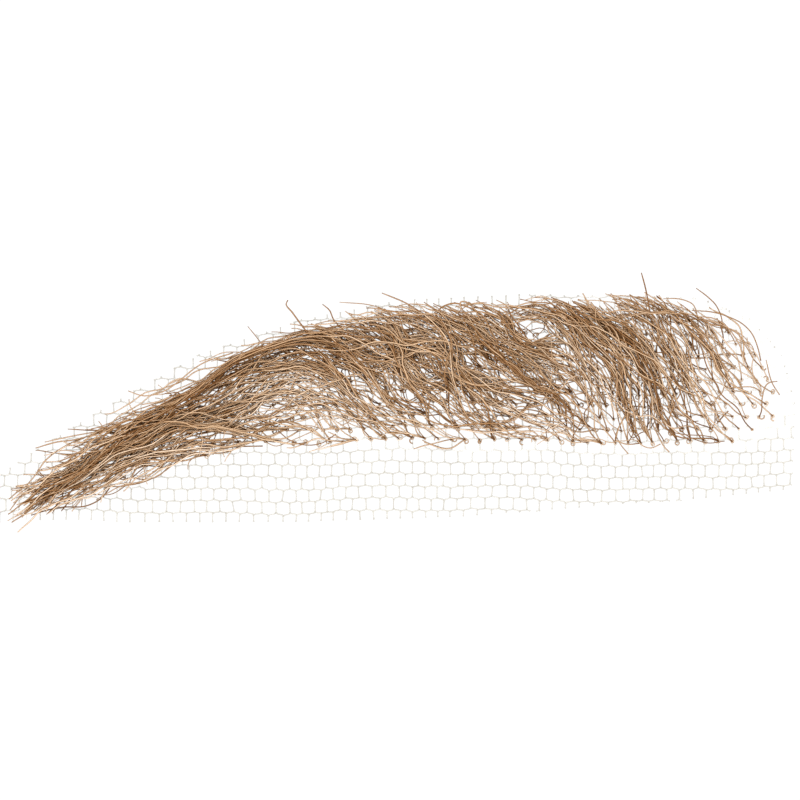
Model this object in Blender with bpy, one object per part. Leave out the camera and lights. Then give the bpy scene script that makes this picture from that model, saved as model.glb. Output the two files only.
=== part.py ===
"""A hand-tied false eyebrow: brown hair knotted into a strip of hexagonal lace net.

The brow lies as it does before it is worn, net down. +X points to its full front end,
+Y to the forehead side and +Z out of the net. The origin is on the net's underside, in
the middle of the strip. Sizes are in metres.
"""

from __future__ import annotations

import math
from typing import NamedTuple

import bmesh
import bpy
from mathutils import Vector

# The strip of net
NET_LENGTH = 0.0660
NET_HEIGHT = 0.0188
NET_THICKNESS = 0.0010
CELL_PITCH = 0.0032
BAR_WIDTH = 0.0006

# The hair, whose places are shares of the net that it is knotted into
HAIR_CLEARANCE = 0.0003
PAD_THICKNESS = 0.0012
PAD_EDGE = 0.0004
LOCK_WIDTH = 0.0022
LOCK_THICKNESS = 0.0015
LOCK_LIFT = 0.0012
LOCK_EDGE = 0.0004
LOCK_END_SHARE = 0.16

LOCK_RINGS = 9
CROWN_POINTS = 5


class NetRow(NamedTuple):
    """Where the strip of net starts and ends at one height, as shares of its size."""

    height: float
    tail_end: float
    front_end: float


class PadStation(NamedTuple):
    """One cross-section of the hair's backing, as shares of the net and of its thickness."""

    along: float
    lower: float
    upper: float
    thickness: float


class Lock(NamedTuple):
    """One curved lock through its root, middle and tip, as shares of the net's size.

    The last two columns are shares of LOCK_WIDTH and of LOCK_LIFT.
    """

    root_along: float
    root_up: float
    mid_along: float
    mid_up: float
    tip_along: float
    tip_up: float
    width: float
    lift: float


NET_ROWS = (
    NetRow(height=0.00, tail_end=0.00, front_end=0.62),
    NetRow(height=0.10, tail_end=0.00, front_end=0.92),
    NetRow(height=0.20, tail_end=0.01, front_end=1.00),
    NetRow(height=0.48, tail_end=0.13, front_end=1.00),
    NetRow(height=0.72, tail_end=0.25, front_end=0.98),
    NetRow(height=0.88, tail_end=0.38, front_end=0.95),
    NetRow(height=1.00, tail_end=0.54, front_end=0.88),
)

PAD_STATIONS = (
    PadStation(along=0.050, lower=0.07, upper=0.16, thickness=0.55),
    PadStation(along=0.127, lower=0.14, upper=0.32, thickness=0.80),
    PadStation(along=0.215, lower=0.23, upper=0.52, thickness=1.00),
    PadStation(along=0.304, lower=0.32, upper=0.70, thickness=1.00),
    PadStation(along=0.405, lower=0.34, upper=0.84, thickness=1.00),
    PadStation(along=0.557, lower=0.34, upper=0.91, thickness=1.00),
    PadStation(along=0.709, lower=0.34, upper=0.91, thickness=1.00),
    PadStation(along=0.835, lower=0.35, upper=0.90, thickness=0.90),
    PadStation(along=0.911, lower=0.38, upper=0.81, thickness=0.75),
    PadStation(along=0.956, lower=0.48, upper=0.70, thickness=0.60),
)

LOCKS = (
    # Front end
    Lock(0.960, 0.69, 0.936, 0.87, 0.873, 0.93, 0.45, 0.40),
    Lock(0.941, 0.59, 0.920, 0.79, 0.841, 0.95, 0.65, 0.70),
    Lock(0.982, 0.54, 0.968, 0.65, 0.943, 0.77, 0.40, 0.25),
    Lock(0.970, 0.45, 0.930, 0.59, 0.886, 0.79, 0.60, 0.50),
    Lock(0.930, 0.39, 0.886, 0.55, 0.829, 0.84, 0.75, 0.75),
    Lock(0.951, 0.42, 0.912, 0.62, 0.862, 0.82, 0.55, 0.60),
    Lock(0.908, 0.36, 0.873, 0.52, 0.820, 0.74, 0.60, 0.80),
    Lock(0.860, 0.35, 0.835, 0.66, 0.800, 0.92, 0.65, 0.80),
    Lock(0.885, 0.33, 0.846, 0.55, 0.772, 0.88, 0.95, 1.00),
    Lock(0.835, 0.35, 0.810, 0.61, 0.741, 0.94, 0.90, 0.85),
    # Arch
    Lock(0.795, 0.35, 0.772, 0.65, 0.690, 0.95, 1.00, 1.00),
    Lock(0.759, 0.37, 0.709, 0.65, 0.639, 0.91, 0.95, 0.80),
    Lock(0.716, 0.33, 0.658, 0.62, 0.572, 0.86, 0.95, 1.00),
    Lock(0.668, 0.34, 0.620, 0.57, 0.545, 0.77, 0.80, 0.60),
    Lock(0.662, 0.84, 0.570, 0.93, 0.487, 0.92, 0.65, 0.60),
    Lock(0.610, 0.76, 0.527, 0.91, 0.390, 0.83, 0.80, 0.95),
    Lock(0.608, 0.39, 0.557, 0.70, 0.473, 0.87, 1.00, 0.85),
    Lock(0.568, 0.40, 0.506, 0.64, 0.418, 0.84, 1.00, 1.00),
    Lock(0.535, 0.47, 0.471, 0.59, 0.386, 0.81, 0.85, 0.90),
    Lock(0.500, 0.35, 0.443, 0.52, 0.367, 0.65, 0.85, 0.65),
    # Tail
    Lock(0.484, 0.49, 0.400, 0.67, 0.295, 0.69, 0.80, 0.80),
    Lock(0.425, 0.35, 0.342, 0.48, 0.240, 0.50, 0.75, 0.60),
    Lock(0.430, 0.74, 0.360, 0.76, 0.285, 0.67, 0.75, 0.70),
    Lock(0.440, 0.55, 0.350, 0.57, 0.265, 0.60, 0.80, 0.75),
    Lock(0.470, 0.38, 0.400, 0.42, 0.320, 0.56, 0.70, 0.55),
    Lock(0.350, 0.58, 0.270, 0.52, 0.190, 0.48, 0.75, 0.70),
    Lock(0.290, 0.50, 0.200, 0.42, 0.110, 0.25, 0.80, 0.75),
    Lock(0.400, 0.84, 0.304, 0.74, 0.190, 0.45, 0.90, 0.75),
    Lock(0.327, 0.69, 0.190, 0.44, 0.063, 0.12, 0.95, 1.00),
    Lock(0.380, 0.35, 0.272, 0.40, 0.177, 0.35, 0.75, 0.60),
    Lock(0.294, 0.31, 0.178, 0.27, 0.042, 0.04, 0.75, 0.60),
    Lock(0.240, 0.28, 0.139, 0.28, 0.019, -0.01, 0.90, 0.80),
    Lock(0.190, 0.41, 0.110, 0.34, 0.047, 0.29, 0.60, 0.40),
    Lock(0.222, 0.23, 0.139, 0.12, 0.057, 0.04, 0.35, 0.10),
    Lock(0.240, 0.54, 0.139, 0.35, 0.018, 0.08, 0.65, 0.50),
)

HAIR_COLOUR = (0.310, 0.205, 0.128, 1.0)
NET_COLOUR = (0.700, 0.660, 0.580, 1.0)


def clear_objects() -> None:
    """Remove every object that the file starts with."""
    for old_object in list(bpy.data.objects):
        bpy.data.objects.remove(old_object, do_unlink=True)


def make_material(name: str, colour: tuple[float, ...], roughness: float) -> bpy.types.Material:
    """Make a plain Principled material."""
    material = bpy.data.materials.new(name)
    material.use_nodes = True
    shader = material.node_tree.nodes["Principled BSDF"]
    shader.inputs["Base Color"].default_value = colour
    shader.inputs["Roughness"].default_value = roughness
    shader.inputs["Metallic"].default_value = 0.0
    return material


def add_object(name: str, mesh_data: bmesh.types.BMesh, material: bpy.types.Material) -> bpy.types.Object:
    """Turn a bmesh into a smooth-shaded object with one material."""
    bmesh.ops.recalc_face_normals(mesh_data, faces=mesh_data.faces)
    mesh = bpy.data.meshes.new(name)
    mesh_data.to_mesh(mesh)
    mesh_data.free()
    mesh.materials.append(material)
    mesh.shade_smooth()
    mesh.set_sharp_from_angle(angle=math.radians(40))
    new_object = bpy.data.objects.new(name, mesh)
    bpy.context.scene.collection.objects.link(new_object)
    return new_object


def net_point(along: float, up: float, height: float = 0.0) -> Vector:
    """Give the place at a share of the net's length and of its height."""
    return Vector(((along - 0.5) * NET_LENGTH, (up - 0.5) * NET_HEIGHT, height))


def net_ends(y: float) -> tuple[float, float]:
    """Give where the strip of net starts and ends along X at one Y."""
    share = min(max(y / NET_HEIGHT + 0.5, 0.0), 1.0)
    for below, above in zip(NET_ROWS, NET_ROWS[1:]):
        if share <= above.height:
            part = (share - below.height) / (above.height - below.height)
            tail = below.tail_end + part * (above.tail_end - below.tail_end)
            front = below.front_end + part * (above.front_end - below.front_end)
            return net_point(tail, 0.0).x, net_point(front, 0.0).x
    raise ValueError("the net's rows end below its upper edge")


def outward_normal(edge: bmesh.types.BMEdge) -> Vector:
    """Give the flat direction that points out of a boundary edge's only face."""
    run = (edge.verts[1].co - edge.verts[0].co).normalized()
    normal = Vector((run.y, -run.x, 0.0))
    inward = edge.link_faces[0].calc_center_median() - edge.verts[0].co
    return -normal if normal.dot(inward) > 0 else normal


def widen_rim(sheet: bmesh.types.BMesh, width: float) -> None:
    """Add a strip of faces outside a flat sheet's boundary, mitred at its corners."""
    rim = [edge for edge in sheet.edges if edge.is_boundary]
    normals: dict[bmesh.types.BMVert, list[Vector]] = {}
    for edge in rim:
        for vertex in edge.verts:
            normals.setdefault(vertex, []).append(outward_normal(edge))
    outer = {}
    for vertex, (first, second) in normals.items():
        outer[vertex] = sheet.verts.new(vertex.co + (first + second) * width / (1 + first.dot(second)))
    for edge in rim:
        start, end = edge.verts
        sheet.faces.new((start, end, outer[end], outer[start]))


def build_lace_net(material: bpy.types.Material) -> bpy.types.Object:
    """Build the honeycomb net, with a bar through the origin and whole cells at its edges.

    The pitch is fitted so that whole cells fill the strip's length, and the rows so
    that they fill its height.
    """
    half_columns = max(1, round((NET_LENGTH - BAR_WIDTH) / CELL_PITCH / 2))
    pitch = (NET_LENGTH - BAR_WIDTH) / (2 * half_columns)
    regular_radius = pitch / math.sqrt(3)
    half_rows = max(1, round(((NET_HEIGHT - BAR_WIDTH) / regular_radius - 2) / 3))
    radius = (NET_HEIGHT - BAR_WIDTH) / (3 * half_rows + 2)
    reach = half_columns * pitch * 1.0001

    net = bmesh.new()
    corners: dict[tuple[int, int], bmesh.types.BMVert] = {}

    def corner(column: int, level: int) -> bmesh.types.BMVert:
        """Give the shared vertex at a half-pitch column and a half-radius level."""
        if (column, level) not in corners:
            place = Vector((column * pitch / 2, level * radius / 2, 0.0))
            corners[(column, level)] = net.verts.new(place)
        return corners[(column, level)]

    for row in range(-half_rows, half_rows + 1):
        tail_x, front_x = net_ends(row * 1.5 * radius)
        for step in range(-half_columns - 1, half_columns + 1):
            column = 2 * step + (1 if row % 2 == 0 else 0)
            centre_x = column * pitch / 2
            if not tail_x <= centre_x <= front_x or abs(centre_x) + pitch / 2 > reach:
                continue
            level = 3 * row
            ring = [
                corner(column, level - 2), corner(column + 1, level - 1), corner(column + 1, level + 1),
                corner(column, level + 2), corner(column - 1, level + 1), corner(column - 1, level - 1),
            ]
            net.faces.new(ring)

    cells = list(net.faces)
    widen_rim(net, BAR_WIDTH / 2)
    net.normal_update()
    bmesh.ops.inset_individual(net, faces=cells, thickness=BAR_WIDTH / 2, use_even_offset=True)
    bmesh.ops.delete(net, geom=cells, context="FACES")
    raised = bmesh.ops.extrude_face_region(net, geom=list(net.faces), use_keep_orig=True)
    upper = [part for part in raised["geom"] if isinstance(part, bmesh.types.BMVert)]
    bmesh.ops.translate(net, verts=upper, vec=(0.0, 0.0, NET_THICKNESS))
    return add_object("lace_net", net, material)


def hair_base() -> float:
    """Give the height of the hair's flat underside."""
    return NET_THICKNESS + HAIR_CLEARANCE


def loft(rings: list[list[Vector]]) -> bmesh.types.BMesh:
    """Skin closed rings of equally many points and cap both ends."""
    solid = bmesh.new()
    loops = [[solid.verts.new(point) for point in ring] for ring in rings]
    for first, second in zip(loops, loops[1:]):
        for index in range(len(first)):
            after = (index + 1) % len(first)
            solid.faces.new((first[index], first[after], second[after], second[index]))
    solid.faces.new(list(reversed(loops[0])))
    solid.faces.new(loops[-1])
    return solid


def crowned_ring(lower: Vector, upper: Vector, edge: float, crown: float) -> list[Vector]:
    """Give a section with a flat underside, low upright sides and a crowned top."""
    ring = [lower, upper]
    for index in range(CROWN_POINTS):
        angle = math.pi * index / (CROWN_POINTS - 1)
        place = upper.lerp(lower, (1 - math.cos(angle)) / 2)
        place.z += edge + (crown - edge) * math.sin(angle)
        ring.append(place)
    return ring


def pad_ring(station: PadStation) -> list[Vector]:
    """Give one cross-section of the backing."""
    lower = net_point(station.along, station.lower, hair_base())
    upper = net_point(station.along, station.upper, hair_base())
    return crowned_ring(lower, upper, PAD_EDGE * station.thickness, PAD_THICKNESS * station.thickness)


def lock_ring(lock: Lock, share: float) -> list[Vector]:
    """Give the section of a lock at a share of its length, square to its run."""
    root = net_point(lock.root_along, lock.root_up, hair_base())
    middle = net_point(lock.mid_along, lock.mid_up, hair_base())
    tip = net_point(lock.tip_along, lock.tip_up, hair_base())
    handle = 2 * middle - (root + tip) / 2
    centre = (1 - share) ** 2 * root + 2 * share * (1 - share) * handle + share**2 * tip
    run = ((1 - share) * (handle - root) + share * (tip - handle)).normalized()
    fullness = LOCK_END_SHARE + (1 - LOCK_END_SHARE) * math.sin(math.pi * (0.12 + 0.88 * share)) ** 0.8
    across = Vector((-run.y, run.x, 0.0)) * LOCK_WIDTH * lock.width * fullness / 2
    lift = LOCK_LIFT * lock.lift * math.sin(math.pi * share)
    crown = LOCK_THICKNESS * math.sqrt(lock.width) * fullness + lift
    return crowned_ring(centre - across, centre + across, LOCK_EDGE * fullness, crown)


def build_brow_hair(material: bpy.types.Material) -> bpy.types.Object:
    """Build the hair as one solid: curved locks fused to a low crowned backing."""
    brow_hair = add_object("brow_hair", loft([pad_ring(station) for station in PAD_STATIONS]), material)
    lock_forms = bpy.data.collections.new("lock_forms")
    bpy.context.scene.collection.children.link(lock_forms)
    for number, lock in enumerate(LOCKS, start=1):
        rings = [lock_ring(lock, step / (LOCK_RINGS - 1)) for step in range(LOCK_RINGS)]
        form = add_object(f"lock_form_{number:02d}", loft(rings), material)
        bpy.context.scene.collection.objects.unlink(form)
        lock_forms.objects.link(form)
        form.hide_render = True
        form.display_type = "WIRE"
    fuse = brow_hair.modifiers.new("fuse", "BOOLEAN")
    fuse.operation = "UNION"
    fuse.operand_type = "COLLECTION"
    fuse.collection = lock_forms
    fuse.solver = "EXACT"
    return brow_hair


def main() -> None:
    """Build the net and the hair."""
    clear_objects()
    build_lace_net(make_material("net_thread", NET_COLOUR, roughness=0.6))
    build_brow_hair(make_material("brown_hair", HAIR_COLOUR, roughness=0.5))


if __name__ == "__main__":
    main()
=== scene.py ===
"""Looks of a hand-tied false eyebrow: knotted brown hair on a strip of hexagonal lace net.

The brow lies net down on a plain white floor and is seen from straight above. Everything
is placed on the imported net's own box. Lock paths are charted on the photograph, in its
pixels, and PhotoChart turns them into metres on the net.
"""

import logging
import math
from dataclasses import dataclass, field
from enum import Enum
from functools import cached_property
from typing import NamedTuple

import bpy
import numpy as np
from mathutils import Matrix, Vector


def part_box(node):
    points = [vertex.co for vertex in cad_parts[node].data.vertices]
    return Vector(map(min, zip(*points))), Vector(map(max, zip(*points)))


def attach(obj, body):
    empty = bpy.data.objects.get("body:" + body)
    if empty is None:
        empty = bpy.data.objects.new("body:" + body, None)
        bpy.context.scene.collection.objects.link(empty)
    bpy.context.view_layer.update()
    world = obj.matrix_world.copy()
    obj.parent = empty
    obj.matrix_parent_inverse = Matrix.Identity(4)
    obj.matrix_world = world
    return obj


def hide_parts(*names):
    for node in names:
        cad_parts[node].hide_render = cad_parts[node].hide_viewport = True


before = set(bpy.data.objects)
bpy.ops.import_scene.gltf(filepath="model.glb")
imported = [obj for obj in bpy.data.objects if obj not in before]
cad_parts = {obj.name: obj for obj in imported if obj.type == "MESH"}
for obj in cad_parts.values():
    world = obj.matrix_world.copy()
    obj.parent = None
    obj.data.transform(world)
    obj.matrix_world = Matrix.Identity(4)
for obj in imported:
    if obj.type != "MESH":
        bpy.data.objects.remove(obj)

LOG = logging.getLogger("eyebrow")

MM = 0.001
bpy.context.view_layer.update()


class Zone(Enum):
    """The stretch of the brow that a lock belongs to, each its own mesh."""

    FRONT = "hair_front"
    ARCH = "hair_arch"
    MIDDLE = "hair_middle"
    TAIL = "hair_tail"
    STRAY = "hair_strays"


class KnotStyle(Enum):
    """How a hair's knot ends: pulled tight, with an open loop, or with a short hook."""

    TIGHT = 0
    LOOP = 1
    HOOK = 2


class Lock(NamedTuple):
    """A lock of hair as charted on the photograph.

    path holds pixels from root to tip, hairs its share of the hair, root, waist and tip
    its width in pixels there, and level how high its middle lies over the net, in mm.
    """

    zone: Zone
    path: tuple[tuple[float, float], ...]
    hairs: float
    root: float
    waist: float
    tip: float
    level: float


class Stray(NamedTuple):
    """A single hair that stands out, with its height over the net in mm and its path in pixels."""

    level: float
    path: tuple[tuple[float, float], ...]


@dataclass(frozen=True)
class PhotoChart:
    """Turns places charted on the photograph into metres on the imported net.

    The strip of net runs from tail_px to front_px across the photograph, and its middle
    lies at middle_py down it.
    """

    tail_px: float = 0.0
    front_px: float = 790.0
    middle_py: float = 405.5
    picture_px: float = 800.0

    @cached_property
    def scale(self) -> float:
        """Metres for each pixel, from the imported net's length."""
        low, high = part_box("lace_net")
        return (high.x - low.x) / (self.front_px - self.tail_px)

    def across(self, pixels: np.ndarray) -> np.ndarray:
        """Give the x in metres of pixels counted across the photograph."""
        return (np.asarray(pixels, float) - (self.tail_px + self.front_px) / 2) * self.scale

    def place(self, pixels: np.ndarray) -> np.ndarray:
        """Give the places of pixels on the net.

        Args:
            pixels: rows of across and down in the photograph.

        Returns:
            Rows of x and y in metres.
        """
        across, down = np.asarray(pixels, float).T
        return np.column_stack((self.across(across), (self.middle_py - down) * self.scale))


def smooth_path(points: np.ndarray, samples: int) -> np.ndarray:
    """Run a smooth curve through points and read it at even steps.

    Args:
        points: rows of coordinates, in order.
        samples: how many places to give.

    Returns:
        Rows of coordinates, evenly spaced along the curve.
    """
    steps = np.linalg.norm(np.diff(points, axis=0), axis=1)
    knots = np.concatenate(([0.0], np.cumsum(steps)))
    slopes = np.diff(points, axis=0) / steps[:, None]
    tangents = np.vstack((slopes[:1], (slopes[:-1] + slopes[1:]) / 2, slopes[-1:]))
    at = np.linspace(0.0, knots[-1], samples * 4)
    span = np.clip(np.searchsorted(knots, at, side="right") - 1, 0, len(steps) - 1)
    width = steps[span][:, None]
    part = (at - knots[span])[:, None] / width
    curve = (
        (2 * part**3 - 3 * part**2 + 1) * points[span]
        + (part**3 - 2 * part**2 + part) * width * tangents[span]
        + (3 * part**2 - 2 * part**3) * points[span + 1]
        + (part**3 - part**2) * width * tangents[span + 1]
    )
    run = np.concatenate(([0.0], np.cumsum(np.linalg.norm(np.diff(curve, axis=0), axis=1))))
    even = np.linspace(0.0, run[-1], samples)
    return np.column_stack([np.interp(even, run, curve[:, axis]) for axis in range(curve.shape[1])])


def side_vectors(path: np.ndarray) -> np.ndarray:
    """Give the unit vectors to the left of a flat path.

    Args:
        path: rows whose first two values are x and y.

    Returns:
        Rows of x and y, one for each place on the path.
    """
    run = np.gradient(path[:, :2], axis=0)
    run /= np.maximum(np.linalg.norm(run, axis=1, keepdims=True), 1e-12)
    return np.column_stack((-run[:, 1], run[:, 0]))


def ease(share: np.ndarray) -> np.ndarray:
    """Rise smoothly from 0 to 1 as share goes from 0 to 1."""
    clipped = np.clip(share, 0.0, 1.0)
    return clipped * clipped * (3.0 - 2.0 * clipped)


def inside(places: np.ndarray, outline: np.ndarray) -> np.ndarray:
    """Say which places lie inside a closed outline.

    Args:
        places: rows of x and y.
        outline: the outline's corners in order.

    Returns:
        True for each place that lies inside.
    """
    x, y = places[:, 0], places[:, 1]
    result = np.zeros(len(places), bool)
    for (x0, y0), (x1, y1) in zip(outline, np.roll(outline, -1, axis=0)):
        crosses = (y0 > y) != (y1 > y)
        edge_x = x0 + (y - y0) * (x1 - x0) / (y1 - y0 if y1 != y0 else 1e-12)
        result ^= crosses & (x < edge_x)
    return result


class NodeTree:
    """A short way to write a node tree: add nodes and link their sockets by name."""

    def __init__(self, tree: bpy.types.NodeTree) -> None:
        """Start from a tree that is empty or holds its first nodes."""
        self.tree = tree

    def add(self, kind: str, settings: dict | None = None, **inputs: object) -> bpy.types.Node:
        """Add a node.

        Args:
            kind: the node's type.
            settings: its own settings by name.
            inputs: socket values or links by name, with spaces written as underscores.

        Returns:
            The new node.
        """
        node = self.tree.nodes.new(kind)
        for name, value in (settings or {}).items():
            setattr(node, name, value)
        for name, value in inputs.items():
            self.feed(node, name.replace("_", " "), value)
        return node

    def maths(self, operation: str, *values: object) -> bpy.types.NodeSocket:
        """Add a maths node.

        Args:
            operation: what it does.
            values: its inputs in order, each a number or a socket.

        Returns:
            The socket of its result.
        """
        node = self.add("ShaderNodeMath", {"operation": operation})
        for socket, value in zip(node.inputs, values):
            self.join(socket, value)
        return node.outputs[0]

    def feed(self, node: bpy.types.Node, name: str, value: object) -> None:
        """Set or link one input of a node, found by its name among the active sockets."""
        self.join(next(s for s in node.inputs if s.name == name and s.enabled), value)

    def join(self, socket: bpy.types.NodeSocket, value: object) -> None:
        """Link an input to a value that is a socket, or else set it.

        Args:
            socket: the input.
            value: a socket, or what the input is set to.
        """
        if isinstance(value, bpy.types.NodeSocket):
            self.tree.links.new(value, socket)
        else:
            socket.default_value = value


class GeometryTree(NodeTree):
    """A Geometry Nodes tree with named inputs for its sizes."""

    def __init__(self, name: str, sizes: dict[str, tuple[str, float]]) -> None:
        """Start a tree.

        Args:
            name: the tree's name.
            sizes: for each input its socket kind, such as Float, and its value.
        """
        super().__init__(bpy.data.node_groups.new(name, "GeometryNodeTree"))
        interface = self.tree.interface
        interface.new_socket("Geometry", in_out="INPUT", socket_type="NodeSocketGeometry")
        interface.new_socket("Geometry", in_out="OUTPUT", socket_type="NodeSocketGeometry")
        self.sizes = {}
        for label, (kind, value) in sizes.items():
            socket = interface.new_socket(label, in_out="INPUT", socket_type=f"NodeSocket{kind}")
            self.sizes[socket.identifier] = value
        self.start = self.tree.nodes.new("NodeGroupInput")

    def finish(self, shape: bpy.types.NodeSocket, material: bpy.types.Material) -> None:
        """End the tree in Realize Instances and Set Material.

        Args:
            shape: the geometry to end with.
            material: what it is made of.
        """
        real = self.add("GeometryNodeRealizeInstances", Geometry=shape)
        dressed = self.add("GeometryNodeSetMaterial", Geometry=real.outputs[0], Material=material)
        out = self.tree.nodes.new("NodeGroupOutput")
        self.tree.links.new(dressed.outputs[0], out.inputs[0])

    def apply(self, name: str, source: bpy.types.Mesh) -> bpy.types.Object:
        """Run the tree on a mesh and keep the result as a plain mesh object.

        Args:
            name: the new object's name.
            source: the mesh that feeds the tree.

        Returns:
            An object at the origin that holds the result.
        """
        holder = bpy.data.objects.new(f"{name}_source", source)
        bpy.context.scene.collection.objects.link(holder)
        modifier = holder.modifiers.new("shape", "NODES")
        modifier.node_group = self.tree
        for identifier, value in self.sizes.items():
            modifier[identifier] = value
        evaluated = holder.evaluated_get(bpy.context.evaluated_depsgraph_get())
        mesh = bpy.data.meshes.new_from_object(evaluated)
        mesh.name = name
        holder.modifiers.remove(modifier)
        bpy.data.objects.remove(holder)
        bpy.data.node_groups.remove(self.tree)
        piece = bpy.data.objects.new(name, mesh)
        bpy.context.scene.collection.objects.link(piece)
        return piece


@dataclass(frozen=True)
class Finish:
    """A procedural material whose colour follows each strand's own attributes.

    tone is the strand's shade, and ridge is 1 along its top and falls to its sides, where
    painted shade pulls the colour by rim towards the first of the shades, as if less light
    fell on the sides. patch_weight is how far soft patches of noise sway the shade, and
    opacity is under 1 for thread that light passes.
    """

    name: str
    shades: tuple[tuple[float, tuple[float, float, float]], ...]
    roughness: tuple[float, float]
    grain_scale: float
    grain_depth: float
    patch_scale: float
    patch_weight: float
    specular: float = 0.5
    painted_side_shade: float = 0.5
    opacity: float = 1.0

    def build(self) -> bpy.types.Material:
        """Build the material.

        Returns:
            A Principled material with tone, patches, grain and bump.
        """
        material = bpy.data.materials.new(self.name)
        material.use_nodes = True
        nodes = NodeTree(material.node_tree)
        shader = material.node_tree.nodes["Principled BSDF"]
        place = nodes.add("ShaderNodeTexCoord").outputs["Object"]
        tone = nodes.add("ShaderNodeAttribute", {"attribute_name": "tone"}).outputs["Fac"]
        patches = nodes.add("ShaderNodeTexNoise", Vector=place, Scale=self.patch_scale, Detail=3.0)
        grain = nodes.add("ShaderNodeTexNoise", Vector=place, Scale=self.grain_scale, Detail=2.0)
        swing = nodes.maths("MULTIPLY_ADD", patches.outputs["Fac"], self.patch_weight, tone)
        ridge = nodes.add("ShaderNodeAttribute", {"attribute_name": "ridge"}).outputs["Fac"]
        # painted shade: the colour darkens by rim towards the strand's sides, away from the light above
        with_side_shade = nodes.maths("MULTIPLY_ADD", ridge, self.painted_side_shade, swing)
        shift = nodes.maths("SUBTRACT", with_side_shade, self.painted_side_shade + self.patch_weight / 2)
        ramp = nodes.add("ShaderNodeValToRGB", Fac=shift)
        stops = ramp.color_ramp.elements
        while len(stops) < len(self.shades):
            stops.new(0.5)
        for stop, (position, colour) in zip(stops, self.shades):
            stop.position = position
            stop.color = (*colour, 1.0)
        nodes.feed(shader, "Base Color", ramp.outputs["Color"])
        low, high = self.roughness
        polish = nodes.add("ShaderNodeMapRange", Value=grain.outputs["Fac"], To_Min=low, To_Max=high)
        nodes.feed(shader, "Roughness", polish.outputs[0])
        shader.inputs["Specular IOR Level"].default_value = self.specular
        shader.inputs["Alpha"].default_value = self.opacity
        bump = nodes.add("ShaderNodeBump", Height=grain.outputs["Fac"], Strength=0.6)
        bump.inputs["Distance"].default_value = self.grain_depth
        nodes.feed(shader, "Normal", bump.outputs[0])
        return material


HAIR_FINISH = Finish(
    name="brown_hair",
    shades=(
        (0.0, (0.160, 0.068, 0.022)),
        (0.3, (0.360, 0.192, 0.084)),
        (0.6, (0.670, 0.470, 0.300)),
        (1.0, (0.940, 0.820, 0.690)),
    ),
    roughness=(0.34, 0.55),
    grain_scale=9000.0,
    grain_depth=0.00002,
    patch_scale=700.0,
    patch_weight=0.22,
    specular=0.04,
    painted_side_shade=1.4,
)

NET_FINISH = Finish(
    name="net_thread",
    shades=(
        (0.0, (0.400, 0.360, 0.280)),
        (0.3, (0.520, 0.490, 0.410)),
        (0.7, (0.620, 0.590, 0.510)),
        (1.0, (0.920, 0.900, 0.840)),
    ),
    roughness=(0.55, 0.8),
    grain_scale=14000.0,
    grain_depth=0.00002,
    patch_scale=900.0,
    patch_weight=0.5,
    specular=0.3,
    painted_side_shade=0.12,
    opacity=0.40,
)


class Strands:
    """Collects threads or hairs as chains of points and skins them in one go."""

    def __init__(self, name: str, sides: int) -> None:
        """Start an empty bundle.

        Args:
            name: what the finished object is called.
            sides: how many sides a strand has.
        """
        self.name = name
        self.sides = sides
        self.chains: list[np.ndarray] = []
        self.thickness: list[np.ndarray] = []
        self.tones: list[np.ndarray] = []

    def add(self, path: np.ndarray, radius: np.ndarray, tone: np.ndarray) -> None:
        """Add one strand.

        Args:
            path: rows of x, y and z along the strand.
            radius: its radius at each of them.
            tone: its shade at each of them, from 0, dark, to 1, light.
        """
        self.chains.append(path)
        self.thickness.append(np.broadcast_to(radius, len(path)))
        self.tones.append(np.broadcast_to(tone, len(path)))

    def build(self, material: bpy.types.Material) -> bpy.types.Object:
        """Skin all strands with Geometry Nodes.

        Args:
            material: what they are made of.

        Returns:
            One object that holds them all.
        """
        mesh = bpy.data.meshes.new(f"{self.name}_lines")
        points = np.vstack(self.chains)
        ends = np.cumsum([len(chain) for chain in self.chains])
        firsts = np.setdiff1d(np.arange(len(points) - 1), ends[:-1] - 1)
        mesh.from_pydata(points.tolist(), np.column_stack((firsts, firsts + 1)).tolist(), [])
        for label, values in (("thick", self.thickness), ("tone", self.tones)):
            layer = mesh.attributes.new(label, "FLOAT", "POINT")
            layer.data.foreach_set("value", np.concatenate(values).astype(np.float32))
        return self.skin_tree(material).apply(self.name, mesh)

    def skin_tree(self, material: bpy.types.Material) -> GeometryTree:
        """Build the tree that gives each line its round skin.

        Args:
            material: what the strands are made of.

        Returns:
            The tree, ready to run on a mesh of lines.
        """
        tree = GeometryTree(f"{self.name}_skin", {"Sides": ("Int", self.sides), "Fullness": ("Float", 1.0)})
        sides, fullness = tree.start.outputs["Sides"], tree.start.outputs["Fullness"]
        lines = tree.add("GeometryNodeMeshToCurve", Mesh=tree.start.outputs["Geometry"])
        thick = tree.add("GeometryNodeInputNamedAttribute", {"data_type": "FLOAT"}, Name="thick")
        scaled = tree.maths("MULTIPLY", thick.outputs["Attribute"], fullness)
        ring = tree.add("GeometryNodeCurvePrimitiveCircle", Resolution=sides, Radius=1.0)
        skin = tree.add("GeometryNodeCurveToMesh", Curve=lines.outputs[0], Fill_Caps=True)
        tree.feed(skin, "Profile Curve", ring.outputs[0])
        tree.feed(skin, "Scale", scaled)
        # ridge keeps how far each point faces up, for the finishes to paint shade on the strands' sides
        normal = tree.add("GeometryNodeInputNormal")
        parts = tree.add("ShaderNodeSeparateXYZ", Vector=normal.outputs[0])
        ridge = tree.add("GeometryNodeStoreNamedAttribute", {"data_type": "FLOAT", "domain": "POINT"})
        for label, value in (("Geometry", skin.outputs[0]), ("Name", "ridge"), ("Value", parts.outputs["Z"])):
            tree.feed(ridge, label, value)
        smooth = tree.add("GeometryNodeSetShadeSmooth", Geometry=ridge.outputs[0])
        tree.finish(smooth.outputs[0], material)
        return tree


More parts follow.
